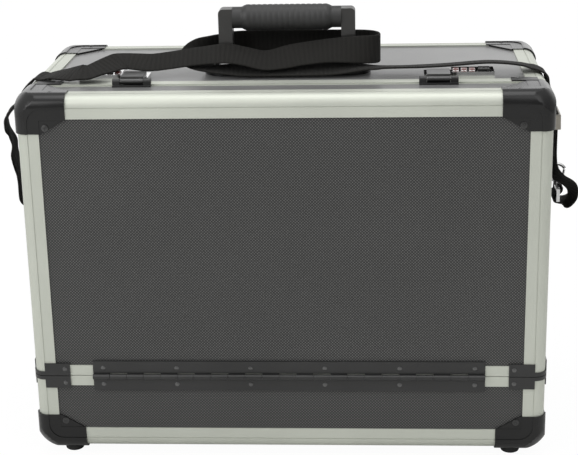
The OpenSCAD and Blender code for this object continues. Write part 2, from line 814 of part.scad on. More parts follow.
module hasp() color([0.3, 0.3, 0.31]) at_hasp() difference() {
    union() {
        translate([-hasp_w / 2, 0, 0]) along_x() cylinder(r = hasp_r, h = hasp_w);
        block([-hasp_w / 2, 0, zt + keep_h + gap - hasp_z],
              [hasp_w / 2, hasp_l, zt + keep_h + gap + hasp_t - hasp_z]);
        block([-staple_w / 2, staple_y - hasp_y, zt + 2 * gap - hasp_z],
              [staple_w / 2, staple_y + staple_t - hasp_y, zt + keep_h + 1 - hasp_z]);
    }
    translate([-hasp_w, 0, 0]) along_x() cylinder(r = hasp_pin_r + run, h = 2 * hasp_w);
    block([-2, staple_y - hasp_y - 1, zt + 1.4 - hasp_z],
          [2, staple_y + staple_t - hasp_y + 1, zt + 2.8 - hasp_z]);
}
module hasp_right() hasp();
module hasp_left() side(-1) hasp();

// Strap rings. A bracket on the side panel holds the ring's straight bar.
module ring_bracket() {
    difference() {
        union() {
            block([x_side - skin, -12, -8], [x_side + 0.3, 12, 14]);
            block([x_side, -6, -3.4], [ring_x, 6, 3.4]);
            translate([ring_x, -6, 0]) along_y() cylinder(r = 3.4, h = 12);
        }
        translate([ring_x, -7, 0]) along_y() cylinder(r = ring_wire + run, h = 14);
    }
}
module at_ring() {
    translate([0, ring_y, ring_z]) children();
}
module ring_brackets() steel() both() at_ring() ring_bracket();
module ring_rivets() {
    for (y = [-7, 7])
        translate([x_side + 0.3, ring_y + y, ring_z + 9]) mirror([1, 0, 0]) along_x()
            rivet_head(0, 0, 0);
}
module ring() steel() translate([ring_x, ring_y, ring_z]) rotate([0, -ring_lean, 0]) {
    translate([0, -ring_r, 0]) along_y() cylinder(r = ring_wire, h = 2 * ring_r);
    for (s = [-1, 1]) {
        translate([0, s * ring_r, -ring_side]) cylinder(r = ring_wire, h = ring_side);
        translate([0, s * ring_r, 0]) sphere(ring_wire);
    }
    translate([0, 0, -ring_side]) rotate([0, 90, 0]) rotate([0, 0, -90])
        rotate_extrude(angle = 180) translate([ring_r, 0]) circle(ring_wire);
}
module ring_right() ring();
module ring_left() side(-1) ring();
// Snap hook: an open loop closed by a sprung gate, a neck and an eye for the webbing
module snap_hook() steel() {
    translate([hang_x, ring_y, hook_z]) {
        rotate([90, 0, 0]) rotate([0, 0, gate_hi])
            rotate_extrude(angle = 360 - gate_hi + gate_lo)
                translate([hook_r, 0]) circle(hook_wire);
        translate([0, 0, -hook_r - neck_l]) cylinder(r = 2.6, h = neck_l);
    }
    translate([hang_x, ring_y, eye_z]) difference() {
        block([-1.5, -eye_w / 2, -eye_h], [1.5, eye_w / 2, 0]);
        block([-3, -eye_w / 2 + 3, -eye_h + 3], [3, eye_w / 2 - 3, -3]);
    }
}
module snap_hook_right() snap_hook();
module snap_hook_left() side(-1) snap_hook();
// The gate closes the loop: a bar on its pivot, stopped short of the tip
module hook_gate() steel() translate([hang_x, ring_y, hook_z])
    rotate([90, 0, 0]) translate([gate_foot[0], gate_foot[1], 0]) rotate([0, 0, -gate_turn])
        translate([0, hook_wire + gap, 0]) rotate([-90, 0, 0])
            cylinder(r = gate_r, h = gate_len);
module hook_gate_right() hook_gate();
module hook_gate_left() side(-1) hook_gate();

// Shoulder strap. Its route is a list of points with the direction of the webbing's width,
// from the left hook over the left lock, round the handle, past the right lock to the right
// hook. The end loop, out and up from the bar of the hook's eye:
loop_out = [4.2, 3.4, 0.5, -2.9, -3.6, -2.7, 0, 4];
loop_up = [10.5, 7, 4.4, 2.7, 0, -2.7, -3.7, -4.4];
function end_loop(s, w) = [for (i = [0:len(loop_out) - 1])
    [[s * (hang_x + loop_out[i]), ring_y, eye_bar_z + loop_up[i]], w]];
// A point near the hook, out, along and up from the eye's bar
function by_hook(s, out, y, up, w) = [[s * (hang_x + out), ring_y + y, eye_bar_z + up], w];
// A point beside the case, at a share of the way down to the rings
strap_drop = zt - ring_z + 6;
function beside(s, out, y, share, w) = [[s * (x_side + out), y, zt - share * strap_drop], w];
// A point inward from the side over the case top
function by_edge(s, inward, y, z, w) = [[s * (x_side - inward), dial_y + y, zt + z], w];
// A point over a lock, outward from the latch's inner end
function by_lock(s, x, y, z, w) = [[s * (latch_x + x), dial_y + y, zt + lock_h + z], w];
// A point round the handle
function by_handle(x, y, z, w) = [[x, handle_y + y, zt + base_t + z], w];
function backwards(l) = [for (i = [len(l) - 1:-1:0]) l[i]];
strap_route = concat(
    end_loop(-1, [0, 1, 0]),
    [by_hook(-1, 8, 0, -3.6, [0, 1, 0]),
     by_hook(-1, 10.9, 0, 1, [0, 1, 0]),
     by_hook(-1, 11.3, 0, 9, [0, 1, 0]),
     by_hook(-1, 11.3, 0, 18, [0, 1, 0]),
     by_hook(-1, 11.7, -1.5, 27, [0, 1, 0]),
     beside(-1, 31.3, 10, 1, [0, 1, 0]),
     beside(-1, 31.6, 6, 0.9, [0, 1, 0]),
     beside(-1, 31, 2, 0.8, [0, 1, 0]),
     beside(-1, 31, -1.5, 0.73, [-0.12, 0.98, 0]),
     beside(-1, 31.3, -6, 0.655, [-0.2, 0.98, 0]),
     beside(-1, 31.3, -11, 0.58, [-0.18, 0.98, 0]),
     beside(-1, 31, -16.5, 0.5, [-0.14, 0.98, 0.02]),
     beside(-1, 27.5, -22, 0.41, [-0.1, 0.98, 0.05]),
     beside(-1, 19.5, -29, 0.31, [0.1, 0.96, 0.05]),
     beside(-1, 11, -35, 0.19, [0.1, 0.95, 0.1]),
     beside(-1, 3, -38, 0.07, [0.1, 0.97, 0.05]),
     by_edge(-1, 6, 7.5, 1.6, [0.1, 0.98, 0.04]),
     by_edge(-1, 14, 4.5, 2.2, [0.12, 0.98, 0.04]),
     by_edge(-1, 24, 1.6, 4.7, [0.1, 0.98, 0.06]),
     by_edge(-1, 33, -2.6, 6.1, [0.05, 0.98, 0.17]),
     by_lock(-1, 66, -6.5, 1.5, [0, 0.96, 0.27]),
     by_lock(-1, 60.3, -9, 2.4, [0, 0.95, 0.31]),
     by_lock(-1, 52.5, -8.7, 2.7, [0, 0.95, 0.31]),
     by_lock(-1, 45.5, -5, 4.4, [0, 0.96, 0.29]),
     by_lock(-1, 38, 1, 6, [0, 0.95, 0.31]),
     by_lock(-1, 30.5, 8.7, 7.5, [0, 0.95, 0.31]),
     by_lock(-1, 23, 14.4, 7.6, [0, 0.94, 0.34]),
     by_lock(-1, 12, 14.8, 6.8, [0, 0.92, 0.39]),
     by_lock(-1, -1, 13, 6.4, [0, 0.9, 0.43]),
     by_handle(-104, -20, 10.2, [0, 0.89, 0.45]),
     by_handle(-90, -20.8, 12.4, [0, 0.89, 0.46]),
     by_handle(-77, -21, 14, [0, 0.88, 0.47]),
     by_handle(-54, -21, 16, [0, 0.85, 0.53]),
     by_handle(-37, -21, 13.3, [0, 0.87, 0.49]),
     by_handle(-19, -21.5, 9.6, [0, 0.85, 0.53]),
     by_handle(-1, -21.5, 12.3, [0, 0.75, 0.66]),
     by_handle(12, -20, 14.5, [0, 0.74, 0.67]),
     by_handle(37, -18.7, 17.2, [0, 0.7, 0.71]),
     by_handle(60, -18.3, 17.9, [0, 0.5, 0.86]),
     by_handle(74, -15.5, 17.4, [0, 0.3, 0.95]),
     by_handle(81.5, -9, 16.8, [0, 0.08, 1]),
     by_handle(83, 0, 16.6, [0, 0, 1]),
     by_handle(80.5, 9, 16.6, [0, 0, 1]),
     by_handle(72, 15.5, 16.7, [0, 0, 1]),
     by_handle(54, 17.5, 16.8, [0, 0, 1]),
     by_handle(0, 18, 17, [0, 0, 1]),
     by_handle(-42, 17.5, 16.8, [0, 0, 1]),
     by_handle(-58, 16, 15.6, [-0.05, -0.2, 1]),
     by_handle(-70, 12, 14.6, [-0.35, -0.4, 0.85]),
     by_handle(-80, 5.5, 12.6, [-0.7, -0.5, 0.5]),
     by_handle(-86, -4, 8.6, [-0.85, -0.5, 0.15]),
     by_handle(-81, -15, 5, [-0.6, -0.8, 0]),
     by_handle(-66, -21.7, 2.6, [-0.15, -1, -0.05]),
     by_handle(-46, -21.3, 1.3, [0, -0.98, -0.2]),
     by_handle(-30, -21, 0.9, [0, -0.97, -0.24]),
     by_handle(30, -21, 1.1, [0, -0.97, -0.24]),
     by_handle(52, -21, 1.7, [0, -0.98, -0.16]),
     by_handle(70, -20.2, 2.5, [0, -1, 0]),
     by_handle(84, -16.5, 1.5, [0, -0.98, 0.12]),
     by_lock(1, -19, 17.5, -0.6, [0, -0.98, 0.14]),
     by_lock(1, -2, 17.5, -0.2, [0, -0.99, 0.125]),
     by_lock(1, 21, 17.5, 0.9, [0, -0.99, 0.125]),
     by_lock(1, 52, 19, 2.8, [0, -0.99, 0.125]),
     by_lock(1, 70, 19.8, 2.3, [0, -0.99, 0.12]),
     by_edge(1, 23, 21.5, 6.2, [0, -0.99, 0.11]),
     by_edge(1, 14, 23, 3.8, [0, -1, 0.06]),
     by_edge(1, 6.5, 24, 1.8, [0.03, -1, 0.02]),
     beside(1, 0.6, -22, 0.03, [0.05, -1, 0]),
     beside(1, 3, -20.5, 0.13, [0.05, -1, 0]),
     beside(1, 7.8, -17.5, 0.28, [0.03, -1, 0]),
     beside(1, 11.8, -15, 0.43, [0, -1, 0]),
     beside(1, 12.2, -14.6, 0.57, [0, -1, 0]),
     beside(1, 12.2, -14.5, 0.72, [0, -1, 0]),
     beside(1, 12.4, -14.5, 0.86, [0, -1, 0]),
     beside(1, 13.4, -14, 0.97, [0.05, -1, 0.05]),
     by_hook(1, -1.8, -27.2, 30.3, [0.2, -0.92, 0.25]),
     by_hook(1, 3.4, -23, 21.8, [0.35, -0.82, 0.4]),
     by_hook(1, 8.2, -16, 13.8, [0.32, -0.88, 0.28]),
     by_hook(1, 11.2, -8.5, 5.5, [0.15, -0.98, 0.1]),
     by_hook(1, 10.8, -2.5, -1.6, [0.05, -1, 0.02]),
     by_hook(1, 7.6, -0.4, -4.2, [0, -1, 0])],
    backwards(end_loop(1, [0, -1, 0])));
route_last = len(strap_route) - 1;
// A point on the smooth curve through the route, from its point i, in the k-th value
function on_route(i, k) = strap_route[max(0, min(i, route_last))][k];
function curve(i, t, k) = let (a = on_route(i - 1, k), b = on_route(i, k),
        c = on_route(i + 1, k), d = on_route(i + 2, k))
    b + t / 2 * (c - a + t * (2 * a - 5 * b + 4 * c - d + t * (3 * b - a - 3 * c + d)));
strap_fine = concat([for (i = [0:route_last - 1]) for (t = [0, 0.5]) [curve(i, t, 0),
    curve(i, t, 1)]], [strap_route[route_last]]);
strap_last = len(strap_fine) - 1;
function unit(v) = v / norm(v);
// Corners of the webbing's section at a point of the curve
function strap_section(i) = let (p = strap_fine[i][0],
        t = unit(strap_fine[min(i + 1, strap_last)][0] - strap_fine[max(i - 1, 0)][0]),
        w = unit(strap_fine[i][1] - (strap_fine[i][1] * t) * t) * strap_w / 2,
        n = cross(t, unit(w)) * strap_t / 2)
    [p - w - n, p + w - n, p + w + n, p - w + n];
module shoulder_strap() color([0.1, 0.1, 0.1]) polyhedron(
    points = [for (i = [0:strap_last]) each strap_section(i)],
    faces = concat([[0, 1, 2], [0, 2, 3]],
        [for (i = [0:strap_last - 1]) for (j = [0:3]) let (a = 4 * i + j,
            b = 4 * i + (j + 1) % 4) each [[a, a + 4, b + 4], [a, b + 4, b]]],
        [let (e = 4 * strap_last) each [[e + 2, e + 1, e], [e + 3, e + 2, e]]]),
    convexity = 10);

// Slider on the webbing beside the case, square to it
slider_a = beside(1, 11.8, -15, 0.43, [0, 1, 0])[0];
slider_b = beside(1, 12.2, -14.6, 0.57, [0, 1, 0])[0];
slider_up = unit(slider_a - slider_b);
slider_h = 14;
slider_play = 0.7;
slider_bar = 1.6;
module strap_slider() black() translate((slider_a + slider_b) / 2)
    rotate([asin(-slider_up[1]), asin(slider_up[0]), 0]) difference() {
        cube([strap_t + 2 * slider_play + 2 * slider_bar,
            strap_w + 2 * slider_play + 4, slider_h], center = true);
        cube([strap_t + 2 * slider_play, strap_w + 2 * slider_play, slider_h + 2],
            center = true);
    }

back_panel();
top_panel();
bottom_panel();
side_panels();
sill_panel();
floor_mat();
cross_edges();
depth_edges();
rear_upright_edges();
sill_upright_edges();
body_rims();
body_seal();
top_rear_caps();
bottom_rear_caps();
bottom_front_caps();
body_cap_screws();
feet();
body_seam_corners();
body_rivets();
hinge_lower_leaf();
hinge_pin();
handle_base();
handle_pins();
lock_case_left();
lock_case_right();
dial_axles();
ring_brackets();
shoulder_strap();
strap_slider();
door_panel();
door_top_panel();
door_side_panels();
door_edges();
door_rims();
door_caps();
door_cap_screws();
door_seam_corners();
door_rivets();
hinge_upper_leaf();
hasp_brackets();
hasp_pins();
handle();
handle_grip();
hasp_left();
hasp_right();
lock_button_left();
lock_button_right();
dial_left_1();
dial_left_2();
dial_left_3();
dial_right_1();
dial_right_2();
dial_right_3();
ring_left();
ring_right();
snap_hook_left();
snap_hook_right();
hook_gate_left();
hook_gate_right();
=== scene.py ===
import json
import math

import bmesh
import bpy
from mathutils import Matrix, Vector


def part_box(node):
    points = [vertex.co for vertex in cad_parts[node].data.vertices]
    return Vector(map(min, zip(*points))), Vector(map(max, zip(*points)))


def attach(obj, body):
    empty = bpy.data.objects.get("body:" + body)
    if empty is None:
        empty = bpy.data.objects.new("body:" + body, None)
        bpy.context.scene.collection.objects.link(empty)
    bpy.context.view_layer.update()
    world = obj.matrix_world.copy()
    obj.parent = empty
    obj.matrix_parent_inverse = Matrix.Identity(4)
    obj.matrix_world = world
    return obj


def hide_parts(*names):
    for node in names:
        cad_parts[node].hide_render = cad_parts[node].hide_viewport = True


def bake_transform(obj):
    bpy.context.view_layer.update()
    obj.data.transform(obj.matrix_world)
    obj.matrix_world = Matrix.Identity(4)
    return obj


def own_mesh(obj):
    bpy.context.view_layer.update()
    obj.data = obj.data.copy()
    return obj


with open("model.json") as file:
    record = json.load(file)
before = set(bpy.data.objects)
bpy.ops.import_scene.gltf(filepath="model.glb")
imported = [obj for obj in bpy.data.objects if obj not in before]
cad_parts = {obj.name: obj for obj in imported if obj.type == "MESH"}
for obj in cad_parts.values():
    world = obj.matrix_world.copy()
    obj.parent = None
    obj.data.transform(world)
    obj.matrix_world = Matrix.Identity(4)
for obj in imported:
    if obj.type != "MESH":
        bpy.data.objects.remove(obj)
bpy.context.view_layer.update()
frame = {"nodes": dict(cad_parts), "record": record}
nodes = frame["nodes"]
scene = bpy.context.scene
MM = 0.001

# Camera
# The camera stands in front of the case, a little to the right, and looks down on it.
CAMERA_AT = Vector((0.0808, -1.3524, 0.6264))
CAMERA_YAW = math.radians(-3.549)
CAMERA_PITCH = math.radians(-18.112)
CAMERA_ROLL = math.radians(-1.255)
CAMERA_LENS = 93.69


def place_camera():
    data = bpy.data.cameras.new("photo_camera")
    data.lens = CAMERA_LENS
    data.sensor_width = 36
    camera = bpy.data.objects.new("photo_camera", data)
    scene.collection.objects.link(camera)
    forward = Vector((math.sin(CAMERA_YAW) * math.cos(CAMERA_PITCH),
                      math.cos(CAMERA_YAW) * math.cos(CAMERA_PITCH),
                      math.sin(CAMERA_PITCH)))
    level = Vector((math.cos(CAMERA_YAW), -math.sin(CAMERA_YAW), 0))
    upward = level.cross(forward)
    right = level * math.cos(CAMERA_ROLL) + upward * math.sin(CAMERA_ROLL)
    up = upward * math.cos(CAMERA_ROLL) - level * math.sin(CAMERA_ROLL)
    turn = Matrix((right, up, -forward)).transposed()
    camera.matrix_world = Matrix.Translation(CAMERA_AT) @ turn.to_4x4()
    scene.camera = camera


place_camera()


# Node helpers
def add(tree, kind, where=(0, 0), **values):
    """A node of a kind, with the given properties set on it."""
    node = tree.nodes.new(kind)
    node.location = where
    for key, value in values.items():
        setattr(node, key, value)
    return node


def math_node(tree, operation, a, b=None, clamp=False):
    """A maths node; a and b are sockets or numbers. Gives its output."""
    node = add(tree, "ShaderNodeMath", operation=operation, use_clamp=clamp)
    for socket, value in zip(node.inputs, (a, b)):
        if value is None:
            continue
        if hasattr(value, "is_output"):
            tree.links.new(value, socket)
        else:
            socket.default_value = value
    return node.outputs[0]


def remap(tree, value, low, high, to_low, to_high, smooth=False):
    node = add(tree, "ShaderNodeMapRange")
    node.interpolation_type = "SMOOTHSTEP" if smooth else "LINEAR"
    tree.links.new(value, node.inputs["Value"])
    for key, number in (("From Min", low), ("From Max", high),
                        ("To Min", to_low), ("To Max", to_high)):
        node.inputs[key].default_value = number
    return node.outputs["Result"]


def mix_colors(tree, factor, first, second, blend="MIX"):
    node = add(tree, "ShaderNodeMix", data_type="RGBA", blend_type=blend)
    for socket, value in ((node.inputs[0], factor), (node.inputs[6], first),
                          (node.inputs[7], second)):
        if hasattr(value, "is_output"):
            tree.links.new(value, socket)
        elif isinstance(value, (int, float)):
            socket.default_value = value
        else:
            socket.default_value = (*value, 1)
    return node.outputs[2]


def noise(tree, vector, scale, detail=3.0, roughness=0.55):
    node = add(tree, "ShaderNodeTexNoise")
    tree.links.new(vector, node.inputs["Vector"])
    if hasattr(scale, "is_output"):
        tree.links.new(scale, node.inputs["Scale"])
    else:
        node.inputs["Scale"].default_value = scale
    node.inputs["Detail"].default_value = detail
    node.inputs["Roughness"].default_value = roughness
    return node.outputs["Fac"]


def new_group(name, inputs, outputs):
    """A shader node group with named float, vector or colour sockets."""
    kinds = {"float": "NodeSocketFloat", "vector": "NodeSocketVector",
             "color": "NodeSocketColor"}
    group = bpy.data.node_groups.new(name, "ShaderNodeTree")
    for label, kind, default in inputs:
        socket = group.interface.new_socket(label, in_out="INPUT", socket_type=kinds[kind])
        if default is not None:
            socket.default_value = default
    for label, kind in outputs:
        group.interface.new_socket(label, in_out="OUTPUT", socket_type=kinds[kind])
    entry = add(group, "NodeGroupInput", (-900, 0))
    leave = add(group, "NodeGroupOutput", (600, 0))
    return group, entry.outputs, leave.inputs


def use_group(tree, group, **values):
    """Places a group in a tree; a value is a socket, a number or a colour."""
    node = add(tree, "ShaderNodeGroup")
    node.node_tree = group
    for key, value in values.items():
        socket = node.inputs[key.replace("_", " ")]
        if hasattr(value, "is_output"):
            tree.links.new(value, socket)
        else:
            socket.default_value = value
    return node.outputs


# Shared effects
def build_grain():
    """Fine grain: a height and a mask of soft uneven patches."""
    group, inp, out = new_group(
        "fine_grain",
        [("Vector", "vector", None), ("Grain Scale", "float", 900.0),
         ("Patch Scale", "float", 9.0)],
        [("Height", "float"), ("Patches", "float")])
    fine = noise(group, inp["Vector"], inp["Grain Scale"], 3)
    patches = noise(group, inp["Vector"], inp["Patch Scale"], 4, 0.6)
    group.links.new(fine, out["Height"])
    group.links.new(remap(group, patches, 0.32, 0.7, 0, 1, True), out["Patches"])
    return group


def build_emboss():
    """Rows of small raised diamonds, laid at 45 degrees, on two coordinates in metres, and a
    mask of their tops for the laminate's painted highlight.
    """
    group, inp, out = new_group(
        "diamond_emboss",
        [("Across", "float", 0.0), ("Up", "float", 0.0), ("Pitch", "float", 0.0027)],
        [("Height", "float"), ("Painted Highlight", "float")])
    turns = math_node(group, "DIVIDE", math.pi, inp["Pitch"])
    both = math_node(group, "ADD", inp["Across"], inp["Up"])
    less = math_node(group, "SUBTRACT", inp["Across"], inp["Up"])
    waves = [math_node(group, "ABSOLUTE", math_node(
        group, "SINE", math_node(group, "MULTIPLY", way, turns))) for way in (both, less)]
    cell = math_node(group, "MULTIPLY", *waves)
    group.links.new(remap(group, cell, 0.12, 0.8, 0, 1, True), out["Height"])
    # The mask of the diamonds' tops, which carries the laminate's painted highlight
    group.links.new(remap(group, cell, 0.35, 0.85, 0, 1, True), out["Painted Highlight"])
    return group


def build_scuffs():
    """Thin faint scratches, as a mask from stretched noise in two directions."""
    group, inp, out = new_group(
        "hairline_scuffs",
        [("Vector", "vector", None), ("Scale", "float", 30.0)],
        [("Mask", "float")])
    masks = []
    for turn, stretch in ((0.5, (1, 28, 28)), (-0.8, (28, 1, 28))):
        mapping = add(group, "ShaderNodeMapping")
        mapping.inputs["Rotation"].default_value = (turn, turn * 0.6, turn)
        mapping.inputs["Scale"].default_value = stretch
        group.links.new(inp["Vector"], mapping.inputs["Vector"])
        line = noise(group, mapping.outputs[0], inp["Scale"], 1)
        masks.append(remap(group, line, 0.72, 0.8, 0, 1, True))
    group.links.new(math_node(group, "MAXIMUM", *masks), out["Mask"])
    return group


def build_webbing():
    """Woven webbing on a UV map in metres: fine yarns, and ribs across its width, with painted
    shading that is lighter on the ribs' crests.
    """
    group, inp, out = new_group(
        "strap_weave",
        [("Vector", "vector", None), ("Rib Pitch", "float", 0.0042),
         ("Yarn Pitch", "float", 0.0011)],
        [("Height", "float"), ("Painted Rib Shade", "float")])
    parts = add(group, "ShaderNodeSeparateXYZ")
    group.links.new(inp["Vector"], parts.inputs[0])
    across, along = parts.outputs[0], parts.outputs[1]
    yarn_turns = math_node(group, "DIVIDE", math.tau, inp["Yarn Pitch"])
    warp = math_node(group, "SINE", math_node(group, "MULTIPLY", across, yarn_turns))
    weft = math_node(group, "SINE", math_node(group, "MULTIPLY", along, yarn_turns))
    plain = math_node(group, "MULTIPLY", warp, weft)
    rib_turns = math_node(group, "DIVIDE", math.tau, inp["Rib Pitch"])
    rib = math_node(group, "SINE", math_node(group, "MULTIPLY", along, rib_turns))
    height = math_node(group, "ADD", math_node(group, "MULTIPLY", plain, 0.35),
                       math_node(group, "MULTIPLY", rib, 0.5))
    group.links.new(math_node(group, "ADD", height, 0.5), out["Height"])
    # Painted shading: the colour follows the ribs, lighter on their crests and darker in the
    # troughs between them
    group.links.new(remap(group, rib, -1, 1, 0, 1), out["Painted Rib Shade"])
    return group


GRAIN = build_grain()
EMBOSS = build_emboss()
SCUFFS = build_scuffs()
WEAVE = build_webbing()


# Materials
def grey(value, tint=(1, 1, 1)):
    return tuple(value * t for t in tint)


def start_material(name, **principled):
    """A material with its Principled shader; constants are set on the shader's sockets."""
    material = bpy.data.materials.new(name)
    material.use_nodes = True
    tree = material.node_tree
    shader = tree.nodes["Principled BSDF"]
    for key, value in principled.items():
        shader.inputs[key.replace("_", " ")].default_value = value
    place = add(tree, "ShaderNodeTexCoord", (-1400, 0)).outputs["Object"]
    return material, tree, shader, place


def bump(tree, shader, height, distance, strength=1.0):
    node = add(tree, "ShaderNodeBump", (-300, -300))
    node.inputs["Distance"].default_value = distance
    node.inputs["Strength"].default_value = strength
    tree.links.new(height, node.inputs["Height"])
    tree.links.new(node.outputs[0], shader.inputs["Normal"])


def simple_finish(name, dark, light, rough, grain=(900.0, 9.0), grain_depth=0.00002,
                  scuffs=0.0, **principled):
    """A finish with uneven colour and roughness, fine grain and faint scuffs.
    dark and light are its two tones; rough is the range of its roughness."""
    material, tree, shader, place = start_material(name, **principled)
    effect = use_group(tree, GRAIN, Vector=place, Grain_Scale=grain[0], Patch_Scale=grain[1])
    color = mix_colors(tree, effect["Patches"], dark, light)
    roughness = remap(tree, effect["Patches"], 0, 1, *rough)
    if scuffs:
        lines = use_group(tree, SCUFFS, Vector=place)["Mask"]
        lines = math_node(tree, "MULTIPLY", lines, scuffs)
        paler = tuple(min(1, c * 1.6 + 0.03) for c in light)
        color = mix_colors(tree, lines, color, paler)
        roughness = math_node(tree, "ADD", roughness,
                              math_node(tree, "MULTIPLY", lines, 0.2), clamp=True)
    tree.links.new(color, shader.inputs["Base Color"])
    tree.links.new(roughness, shader.inputs["Roughness"])
    bump(tree, shader, effect["Height"], grain_depth)
    return material


def laminate(name, across, up, tones, rough, relief):
    """Black embossed laminate; across and up name the two axes of the panel's face.
    tones are its hollows and its raised tops, whose lighter tone is a painted highlight; rough
    the range of its roughness."""
    material, tree, shader, place = start_material(
        name, Specular_IOR_Level=0.42, Sheen_Weight=0.5, Sheen_Roughness=0.35)
    parts = add(tree, "ShaderNodeSeparateXYZ")
    tree.links.new(place, parts.inputs[0])
    emboss = use_group(tree, EMBOSS, Across=parts.outputs[across], Up=parts.outputs[up])
    grain = use_group(tree, GRAIN, Vector=place, Grain_Scale=1500.0, Patch_Scale=5.0)
    # The raised tops are painted lighter than the hollows: a painted highlight where light
    # catches the embossing
    low, high = tones
    color = mix_colors(tree, emboss["Painted Highlight"], grey(low), grey(high, (1, 1, 0.97)))
    shade = remap(tree, grain["Patches"], 0, 1, 0.88, 1)
    color = mix_colors(tree, 1.0, color, shade, "MULTIPLY")
    tree.links.new(color, shader.inputs["Base Color"])
    tree.links.new(remap(tree, grain["Patches"], 0, 1, *rough), shader.inputs["Roughness"])
    height = math_node(tree, "ADD", emboss["Height"],
                       math_node(tree, "MULTIPLY", grain["Height"], 0.12))
    bump(tree, shader, height, 0.00008, relief)
    return material


def webbing(name):
    """Webbing on the piece's own UV map, with painted shading on its ribs and a little uneven
    dust on it.
    """
    material, tree, shader, place = start_material(
        name, Roughness=0.85, Specular_IOR_Level=0.15, Sheen_Weight=0.05,
        Sheen_Roughness=0.5)
    shader.inputs["Sheen Tint"].default_value = (0.5, 0.5, 0.5, 1)
    own = add(tree, "ShaderNodeUVMap", uv_map="webbing").outputs[0]
    weave = use_group(tree, WEAVE, Vector=own)
    grain = use_group(tree, GRAIN, Vector=place, Grain_Scale=2400.0, Patch_Scale=14.0)
    # The ribs' crests are painted lighter and their troughs darker: painted shading
    color = mix_colors(tree, weave["Painted Rib Shade"], (0.0105, 0.0102, 0.0094),
                       (0.0142, 0.0137, 0.0125))
    color = mix_colors(tree, math_node(tree, "MULTIPLY", grain["Patches"], 0.35), color,
                       (0.018, 0.017, 0.0155))
    tree.links.new(color, shader.inputs["Base Color"])
    height = math_node(tree, "ADD", weave["Height"],
                       math_node(tree, "MULTIPLY", grain["Height"], 0.25))
    bump(tree, shader, height, 0.0003, 0.7)
    return material


COOL = (0.965, 1.0, 0.89)
LAMINATE_FACE = laminate("laminate_upright", 0, 2, (0.020, 0.112), (0.38, 0.44), 0.6)
# Painted light: the level laminate's hollows are painted lighter than the upright laminate's
# (0.045 against 0.020), for the brightness level faces take from the studio behind and above
LAMINATE_TOP_PAINTED_LIGHTER = laminate("laminate_level_painted_lighter", 0, 1, (0.045, 0.115), (0.3, 0.35), 0.1)
LAMINATE_SIDE = laminate("laminate_side", 1, 2, (0.020, 0.112), (0.38, 0.44), 0.6)
ALUMINIUM = simple_finish("satin_aluminium", grey(0.52, COOL), grey(0.57, COOL),
                          (0.46, 0.54), (2200.0, 6.0), 0.000012, 0.12, Metallic=0.5)
CAP_GLOSS = simple_finish("gloss_black_plastic", grey(0.008), grey(0.011), (0.2, 0.27),
                          (1200.0, 12.0), 0.000012, 0.05, Specular_IOR_Level=0.32)
BLACK_LACQUER = simple_finish("black_lacquered_metal", grey(0.012), grey(0.02),
                              (0.3, 0.42), scuffs=0.25)
SCREW_STEEL = simple_finish("dark_screw_steel", grey(0.06), grey(0.09), (0.3, 0.42),
                            Metallic=1.0)
BLACK_RIVET = simple_finish("black_rivet", grey(0.10), grey(0.14), (0.24, 0.32),
                            Metallic=0.8)
PIN_STEEL = simple_finish("bright_pin_steel", grey(0.42), grey(0.5), (0.22, 0.32),
                          Metallic=1.0)
SOFT_RUBBER = simple_finish("black_rubber", grey(0.012), grey(0.02), (0.65, 0.8),
                            (700.0, 20.0), 0.00004)
MAT_FOAM = simple_finish("floor_mat_foam", grey(0.02), grey(0.032), (0.85, 0.95),
                         (500.0, 15.0), 0.0001)
HANDLE_PLASTIC = simple_finish("handle_plastic", grey(0.022, (1.0, 0.97, 0.93)),
                               grey(0.032, (1.0, 0.97, 0.93)), (0.34, 0.46),
                               (1400.0, 25.0), 0.00002, 0.1)
GRIP_RUBBER = simple_finish("grip_rubber", grey(0.018), grey(0.028), (0.5, 0.62),
                            (1600.0, 18.0), 0.00003)
BASE_PLASTIC = simple_finish("handle_base_plastic", grey(0.01), grey(0.014),
                             (0.16, 0.24), scuffs=0.08)
LOCK_CHROME = simple_finish("lock_chrome", grey(0.62), grey(0.7), (0.14, 0.22),
                            (1200.0, 30.0), 0.000006, 0.1, Metallic=1.0)
LOCK_BLACK = simple_finish("lock_black_plastic", grey(0.012), grey(0.018), (0.22, 0.3))
NUMERAL_RED = simple_finish("numeral_dark_red", (0.09, 0.022, 0.018), (0.12, 0.03, 0.024),
                            (0.45, 0.55))
WHEEL_SILVER = simple_finish("wheel_silver", grey(0.62), grey(0.7), (0.3, 0.4),
                             (1400.0, 60.0), 0.000006, Metallic=0.6)
HASP_METAL = simple_finish("dark_nickel", grey(0.07), grey(0.10), (0.3, 0.4),
                           (1500.0, 30.0), 0.000008, 0.25, Metallic=1.0)
FITTING_NICKEL = simple_finish("fitting_nickel", grey(0.55), grey(0.62), (0.2, 0.3),
                               (1500.0, 30.0), 0.000008, 0.15, Metallic=1.0)
SLIDER_METAL = simple_finish("slider_metal", grey(0.26, (1, 0.94, 0.82)),
                             grey(0.32, (1, 0.94, 0.82)), (0.3, 0.4), (900.0, 120.0),
                             0.00003, 0.3, Metallic=0.9)
WEBBING = webbing("black_webbing")

